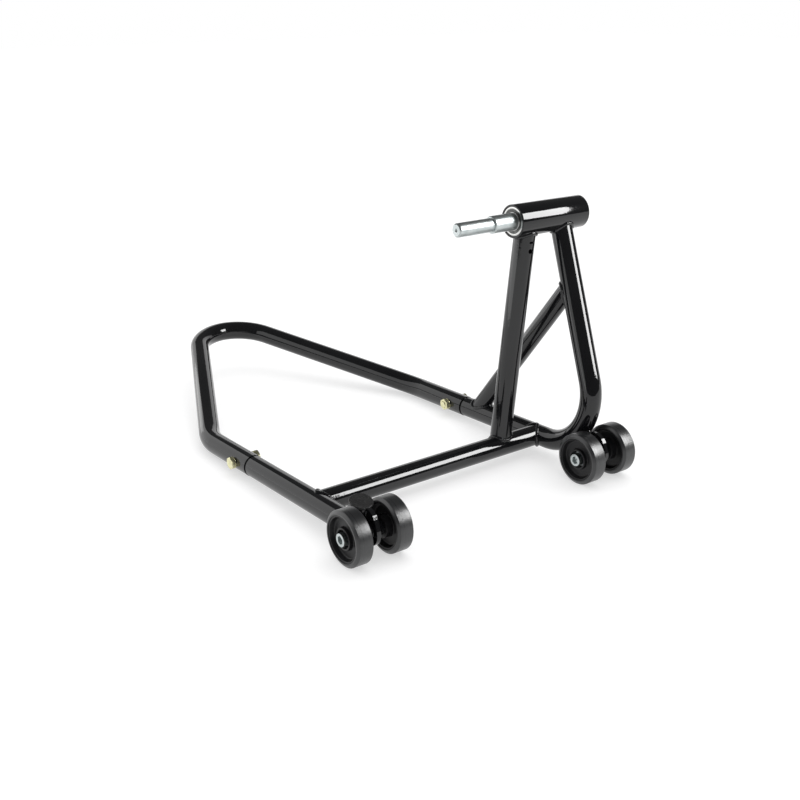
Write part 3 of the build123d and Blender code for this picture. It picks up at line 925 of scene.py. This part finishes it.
def make_circlip():
    """A retaining ring that thickens away from its gap, with an eye at each end."""
    low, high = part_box("spindle_circlip")
    centre = Vector(((low.x + high.x) / 2, *(middle("spindle_pin").yz)))
    half = (high.x - low.x) / 2
    outer = (high.z - low.z) / 2
    inner = CIRCLIP_SEAT_RADIUS
    steps = CIRCLIP_STEPS
    outline = []
    for step in range(steps + 1):
        turn = (2 * math.pi - 2 * CIRCLIP_HALF_GAP) * step / steps
        angle = CIRCLIP_HALF_GAP - math.pi / 2 + turn
        swell = CIRCLIP_SWELL * math.cos((angle - math.pi / 2) / 2) ** 2
        is_eye = min(step, steps - step) / steps < CIRCLIP_EYE_SHARE
        width = 1 if is_eye else CIRCLIP_LEAST + swell
        outline.append((angle, inner + (outer - inner) * width))
    points, faces = [], []
    for x in (-half, half):
        for angle, reach in outline:
            points.append((x, inner * math.cos(angle), inner * math.sin(angle)))
            points.append((x, reach * math.cos(angle), reach * math.sin(angle)))
    layer = 2 * len(outline)
    for step in range(steps):
        a, b = 2 * step, 2 * step + 2
        faces.append((a, a + 1, b + 1, b))
        faces.append((layer + a, layer + b, layer + b + 1, layer + a + 1))
        faces.append((a, b, layer + b, layer + a))
        faces.append((a + 1, layer + a + 1, layer + b + 1, b + 1))
    last = 2 * steps
    faces.append((0, layer, layer + 1, 1))
    faces.append((last, last + 1, layer + last + 1, layer + last))
    make_piece("spindle_circlip_finished", [(points, faces)], "spindle_circlip", centre)


AXLE_TUBE_PLAY = 0.25 * MM
AXLE_TUBE_EDGE = 0.5 * MM


def make_axle_tubes():
    for side_name in ("left", "right"):
        node = f"{side_name}_axle_tube"
        half = extent(node) / 2
        bore = AXLE_THREAD / 2 + AXLE_TUBE_PLAY
        shape = lathe(ring_outline(-half.x, half.x, half.z, bore, AXLE_TUBE_EDGE))
        make_piece(f"{node}_finished", [shape], node, middle(node))


# ---------------------------------------------------------------- weld beads
WELD_RADIUS = 3.0 * MM
LUG_WELD_RADIUS = 2.2 * MM
RIPPLE_LENGTH = 3.2 * MM
RIPPLE_SHARE = 0.13                 # of the bead's radius
RIPPLE_SWAYS = ((0.05, 0.13), (0.04, 0.37))  # slow changes of the radius: size, pace
BEAD_STEP = 0.7 * MM
BEAD_SEGMENTS = 12
EASINGS = 4                         # times a bead's path is smoothed
BEAD_ASIDE = Vector((0.7, 0.2, 0.5)) * MM   # keeps the frame of a straight bead defined
BEAD_END = 0.55                     # share of its radius at an open bead's ends
BEAD_FADE = 5.0 * MM                # at each end of an open bead
SEAM_REACH = 0.35 * MM              # from a seam's edge to the surface it is welded to
SEAM_ANGLE = math.radians(25)       # least angle of an edge that counts as sharp
FLAT_CUT_TURN = math.radians(75)    # ends a seam where a tube's coped end meets its flat cut
ANY_TURN = math.pi                  # keeps a seam whole round its corners
SHORTEST_SEAM = 40 * MM


def seams(node, onto, around, widest_turn):
    """Paths along a CAD node's sharp edges that lie on another node's surface.

    around is +1 for edges round the outside of the node, and -1 for edges round a hole in it.
    A turn beyond widest_turn ends a path. A path that ends where it starts is closed.
    """
    builder = bmesh.new()
    builder.from_mesh(frame["nodes"][node].data)
    bmesh.ops.remove_doubles(builder, verts=builder.verts, dist=SAME_CAD_POINT)
    other = bmesh.new()
    other.from_mesh(frame["nodes"][onto].data)
    surface = BVHTree.FromBMesh(other)
    other.free()

    def on_surface(vertex):
        return surface.find_nearest(vertex.co, SEAM_REACH)[0] is not None

    edges = [
        edge
        for edge in builder.edges
        if edge.calc_face_angle(0) > SEAM_ANGLE and all(map(on_surface, edge.verts))
    ]

    def onward(vertex):
        return [edge for edge in vertex.link_edges if edge in edges]

    def is_corner(vertex):
        ways = [edge.other_vert(vertex).co - vertex.co for edge in onward(vertex)]
        return len(ways) != 2 or ways[0].angle(-ways[1]) > widest_turn

    vertices = list(dict.fromkeys(vertex for edge in edges for vertex in edge.verts))
    corners = {vertex for vertex in vertices if is_corner(vertex)}
    joint_centre = sum((vertex.co for vertex in vertices), Vector()) / len(vertices)
    paths = []
    while edges:
        starts = [vertex for edge in edges for vertex in edge.verts if vertex in corners]
        path = [starts[0] if starts else edges[0].verts[0]]
        members = []
        while onward(path[-1]) and (len(path) == 1 or path[-1] not in corners):
            edge = onward(path[-1])[0]
            edges.remove(edge)
            members.append(edge)
            path.append(edge.other_vert(path[-1]))
        points = [vertex.co.copy() for vertex in path]
        closed = path[0] == path[-1]
        centre = sum(points, Vector()) / len(points) if closed else joint_centre
        outwards = sum(
            face.normal.dot(edge.verts[0].co - centre)
            for edge in members
            for face in edge.link_faces
        )
        length = sum((b - a).length for a, b in zip(points, points[1:]))
        if outwards * around > 0 and length > SHORTEST_SEAM:
            paths.append(points)
    builder.free()
    return paths


def evenly_spaced(points, step, closed):
    """Points at equal steps along a path, with its corners eased."""
    lengths = [0.0]
    for a, b in zip(points, points[1:]):
        lengths.append(lengths[-1] + (b - a).length)
    gaps = round(lengths[-1] / step)
    spaced = []
    segment = 0
    for index in range(gaps if closed else gaps + 1):
        target = min(lengths[-1] * index / gaps, lengths[-1] - step / 1000)
        while lengths[segment + 1] < target:
            segment += 1
        share = (target - lengths[segment]) / (lengths[segment + 1] - lengths[segment])
        spaced.append(points[segment].lerp(points[segment + 1], share))
    last = len(spaced) - 1
    for _ in range(EASINGS):
        eased = [
            (spaced[index - 1] + spaced[index] * 2 + spaced[(index + 1) % (last + 1)]) / 4
            for index in range(last + 1)
        ]
        if not closed:
            eased[0], eased[last] = spaced[0], spaced[last]
        spaced = eased
    return spaced


def bead_shape(seam, radius):
    """A rippled weld bead along a seam. An open bead thins out at both ends."""
    closed = (seam[0] - seam[-1]).length < BEAD_STEP / 10
    path = evenly_spaced(seam, BEAD_STEP, closed)
    count = len(path)
    centre = sum(path, Vector()) / count + BEAD_ASIDE
    ripples = round(count * BEAD_STEP / RIPPLE_LENGTH)
    points = []
    for index, place in enumerate(path):
        before = path[index - 1] if closed or index else place
        after = path[(index + 1) % count] if closed or index + 1 < count else place
        along = (after - before).normalized()
        side = place - centre
        side = (side - along * side.dot(along)).normalized()
        across = along.cross(side)
        phase = index * ripples / count % 1
        sway = 1 + sum(size * math.sin(index * pace) for size, pace in RIPPLE_SWAYS)
        reach = radius * sway * (1 - RIPPLE_SHARE * phase**2)
        if not closed:
            from_end = (min(index, count - 1 - index) + 0.5) * BEAD_STEP
            reach *= BEAD_END + (1 - BEAD_END) * min(1, from_end / BEAD_FADE)
        for segment in range(BEAD_SEGMENTS):
            angle = 2 * math.pi * segment / BEAD_SEGMENTS
            points.append(place + (side * math.cos(angle) + across * math.sin(angle)) * reach)
    faces = skin(count, BEAD_SEGMENTS, closed)
    if not closed:
        last = (count - 1) * BEAD_SEGMENTS
        faces.append(tuple(reversed(range(BEAD_SEGMENTS))))
        faces.append(tuple(range(last, last + BEAD_SEGMENTS)))
    return points, faces


def make_welds():
    joints = [
        ("cross_tube", "left_arm_tube", WELD_RADIUS, 1, ANY_TURN),
        ("cross_tube", "right_arm_tube", WELD_RADIUS, 1, ANY_TURN),
        ("front_upright_tube", "cross_tube", WELD_RADIUS, 1, FLAT_CUT_TURN),
        ("front_upright_tube", "hub_barrel", WELD_RADIUS, 1, ANY_TURN),
        ("right_arm_tube", "hub_barrel", WELD_RADIUS, 1, ANY_TURN),
        ("brace_tube", "right_arm_tube", WELD_RADIUS, 1, ANY_TURN),
        ("left_wheel_lug", "left_arm_tube", LUG_WELD_RADIUS, 1, ANY_TURN),
        ("right_wheel_lug", "right_arm_tube", LUG_WELD_RADIUS, 1, ANY_TURN),
        ("left_wheel_lug", "left_axle_tube", LUG_WELD_RADIUS, -1, ANY_TURN),
        ("right_wheel_lug", "right_axle_tube", LUG_WELD_RADIUS, -1, ANY_TURN),
    ]
    for node, onto, radius, around, widest_turn in joints:
        paths = seams(node, onto, around, widest_turn)
        shapes = [bead_shape(seam, radius) for seam in paths]
        make_piece(f"weld_{node}_{onto}", shapes, node, replaces=False)


make_welds()
make_axle_fasteners()
make_handle_fasteners()
make_wheels()
make_barrel()
make_bearings()
make_spindle()
make_spacer()
make_circlip()
make_axle_tubes()


# ---------------------------------------------------------------- stage
FLOOR_REACH = 14.0
FLOOR_TILES = 8                     # along each side
FLOOR_GAP = 0.2 * MM                # below the wheels
CAMERA_FROM_FLOOR = Vector((-0.89827, -1.00514, 0.66861))   # from the floor amid the axles
CAMERA_AZIMUTH = math.radians(36.48)
CAMERA_PITCH = math.radians(20.50)
CAMERA_ROLL = math.radians(0.33)
CAMERA_LENS = 48.9                  # on a sensor of the width below, in camera millimetres
SENSOR_WIDTH = 36


def make_floor():
    corners = FLOOR_TILES + 1
    points, faces = [], []
    for row in range(corners):
        for column in range(corners):
            x = FLOOR_REACH * (2 * column / FLOOR_TILES - 1)
            y = FLOOR_REACH * (2 * row / FLOOR_TILES - 1)
            points.append((x, y, floor_height - FLOOR_GAP))
    for row in range(FLOOR_TILES):
        for column in range(FLOOR_TILES):
            corner = row * corners + column
            faces.append((corner, corner + 1, corner + corners + 1, corner + corners))
    mesh = bpy.data.meshes.new("floor")
    mesh.from_pydata(points, [], faces)
    mesh.materials.append(pale_floor())
    floor = bpy.data.objects.new("floor", mesh)
    bpy.context.scene.collection.objects.link(floor)


def placed(centre, x_axis, y_axis, z_axis):
    """The matrix that puts an object's centre and axes there."""
    turn = Matrix((x_axis, y_axis, z_axis)).transposed().to_4x4()
    return Matrix.Translation(centre) @ turn


def make_camera():
    data = bpy.data.cameras.new("camera")
    data.lens = CAMERA_LENS
    data.sensor_width = SENSOR_WIDTH
    camera = bpy.data.objects.new("camera", data)
    forward = Vector(
        (
            math.sin(CAMERA_AZIMUTH) * math.cos(CAMERA_PITCH),
            math.cos(CAMERA_AZIMUTH) * math.cos(CAMERA_PITCH),
            -math.sin(CAMERA_PITCH),
        )
    )
    level = Vector((math.cos(CAMERA_AZIMUTH), -math.sin(CAMERA_AZIMUTH), 0))
    down = forward.cross(level)
    right = level * math.cos(CAMERA_ROLL) + down * math.sin(CAMERA_ROLL)
    down = down * math.cos(CAMERA_ROLL) - level * math.sin(CAMERA_ROLL)
    below_axles = Vector((arms_middle.x, arms_middle.y, floor_height))
    camera.matrix_world = placed(below_axles + CAMERA_FROM_FLOOR, right, -down, -forward)
    bpy.context.scene.collection.objects.link(camera)
    bpy.context.scene.camera = camera


def softbox(name, place, width, height, radiance):
    """A rectangular light that shows only in reflections and shines along its own -Z."""
    data = bpy.data.lights.new(name, "AREA")
    data.shape = "RECTANGLE"
    data.size = width
    data.size_y = height
    data.energy = radiance * width * height * math.pi
    light = bpy.data.objects.new(name, data)
    light.matrix_world = place
    light.visible_camera = False
    light.visible_diffuse = False
    bpy.context.scene.collection.objects.link(light)


def compass(degrees):
    """The level direction at an angle from +Y towards +X."""
    angle = math.radians(degrees)
    return Vector((math.sin(angle), math.cos(angle), 0))


BACK_WALL = (36, 2.0, 5.0, 1.0, 1.0)        # compass, distance, width, height, radiance
LEFT_WALL = (-50, 2.0, 4.0, 2.15, 1.25)
STRIP_TARGET = Vector((0.05, -0.1, 0.15))
STRIP_LOW = Vector((0.557, -0.78, 0.27))    # directions to the strip light's two ends
STRIP_HIGH = Vector((0.557, -0.49, 0.67))
STRIP_DISTANCE = 2.6
STRIP_WIDTH = 1.0
STRIP_RADIANCE = 17
KEY_STRENGTH = 0.9
KEY_SIZE = math.radians(60)
KEY_DIRECTION = Vector((-0.5, -0.1, -1.0))
FILL_STRENGTH = 0.95
CEILING = 0.1
BACKDROP = 1.0                              # what the camera sees past the floor


def make_walls():
    for name, wall in (("back_wall", BACK_WALL), ("left_wall", LEFT_WALL)):
        degrees, distance, width, height, radiance = wall
        away = compass(degrees)
        centre = away * distance + Vector((0, 0, floor_height + height / 2))
        up = Vector((0, 0, 1))
        softbox(name, placed(centre, up.cross(away), up, away), width, height, radiance)


def make_strip():
    low_end = STRIP_LOW.normalized() * STRIP_DISTANCE
    high_end = STRIP_HIGH.normalized() * STRIP_DISTANCE
    halfway = (low_end + high_end) / 2
    along = (high_end - low_end).normalized()
    away = halfway.normalized()
    place = placed(STRIP_TARGET + halfway, along.cross(away).normalized(), along, away)
    length = (high_end - low_end).length
    softbox("strip_softbox", place, STRIP_WIDTH, length, STRIP_RADIANCE)


def make_key():
    data = bpy.data.lights.new("soft_key", "SUN")
    data.energy = KEY_STRENGTH
    data.angle = KEY_SIZE
    sun = bpy.data.objects.new("soft_key", data)
    sun.rotation_euler = KEY_DIRECTION.to_track_quat("-Z", "Y").to_euler()
    sun.visible_glossy = False
    bpy.context.scene.collection.objects.link(sun)


def make_world():
    """White to the camera, even fill on every surface, and a dark ceiling in reflections."""
    world = bpy.data.worlds.new("studio")
    bpy.context.scene.world = world
    world.use_nodes = True
    nodes, links = world.node_tree.nodes, world.node_tree.links
    path = nodes.new("ShaderNodeLightPath")

    def even(strength):
        background = nodes.new("ShaderNodeBackground")
        background.inputs["Color"].default_value = (1, 1, 1, 1)
        background.inputs["Strength"].default_value = strength
        return background.outputs[0]

    def choose(ray, otherwise, chosen):
        mix = nodes.new("ShaderNodeMixShader")
        links.new(path.outputs[ray], mix.inputs["Fac"])
        links.new(otherwise, mix.inputs[1])
        links.new(chosen, mix.inputs[2])
        return mix.outputs[0]

    lit = choose("Is Diffuse Ray", even(CEILING), even(FILL_STRENGTH))
    seen = choose("Is Camera Ray", lit, even(BACKDROP))
    links.new(seen, nodes["World Output"].inputs["Surface"])


make_floor()
make_camera()
make_walls()
make_strip()
make_key()
make_world()
bpy.context.scene.view_settings.view_transform = "Standard"
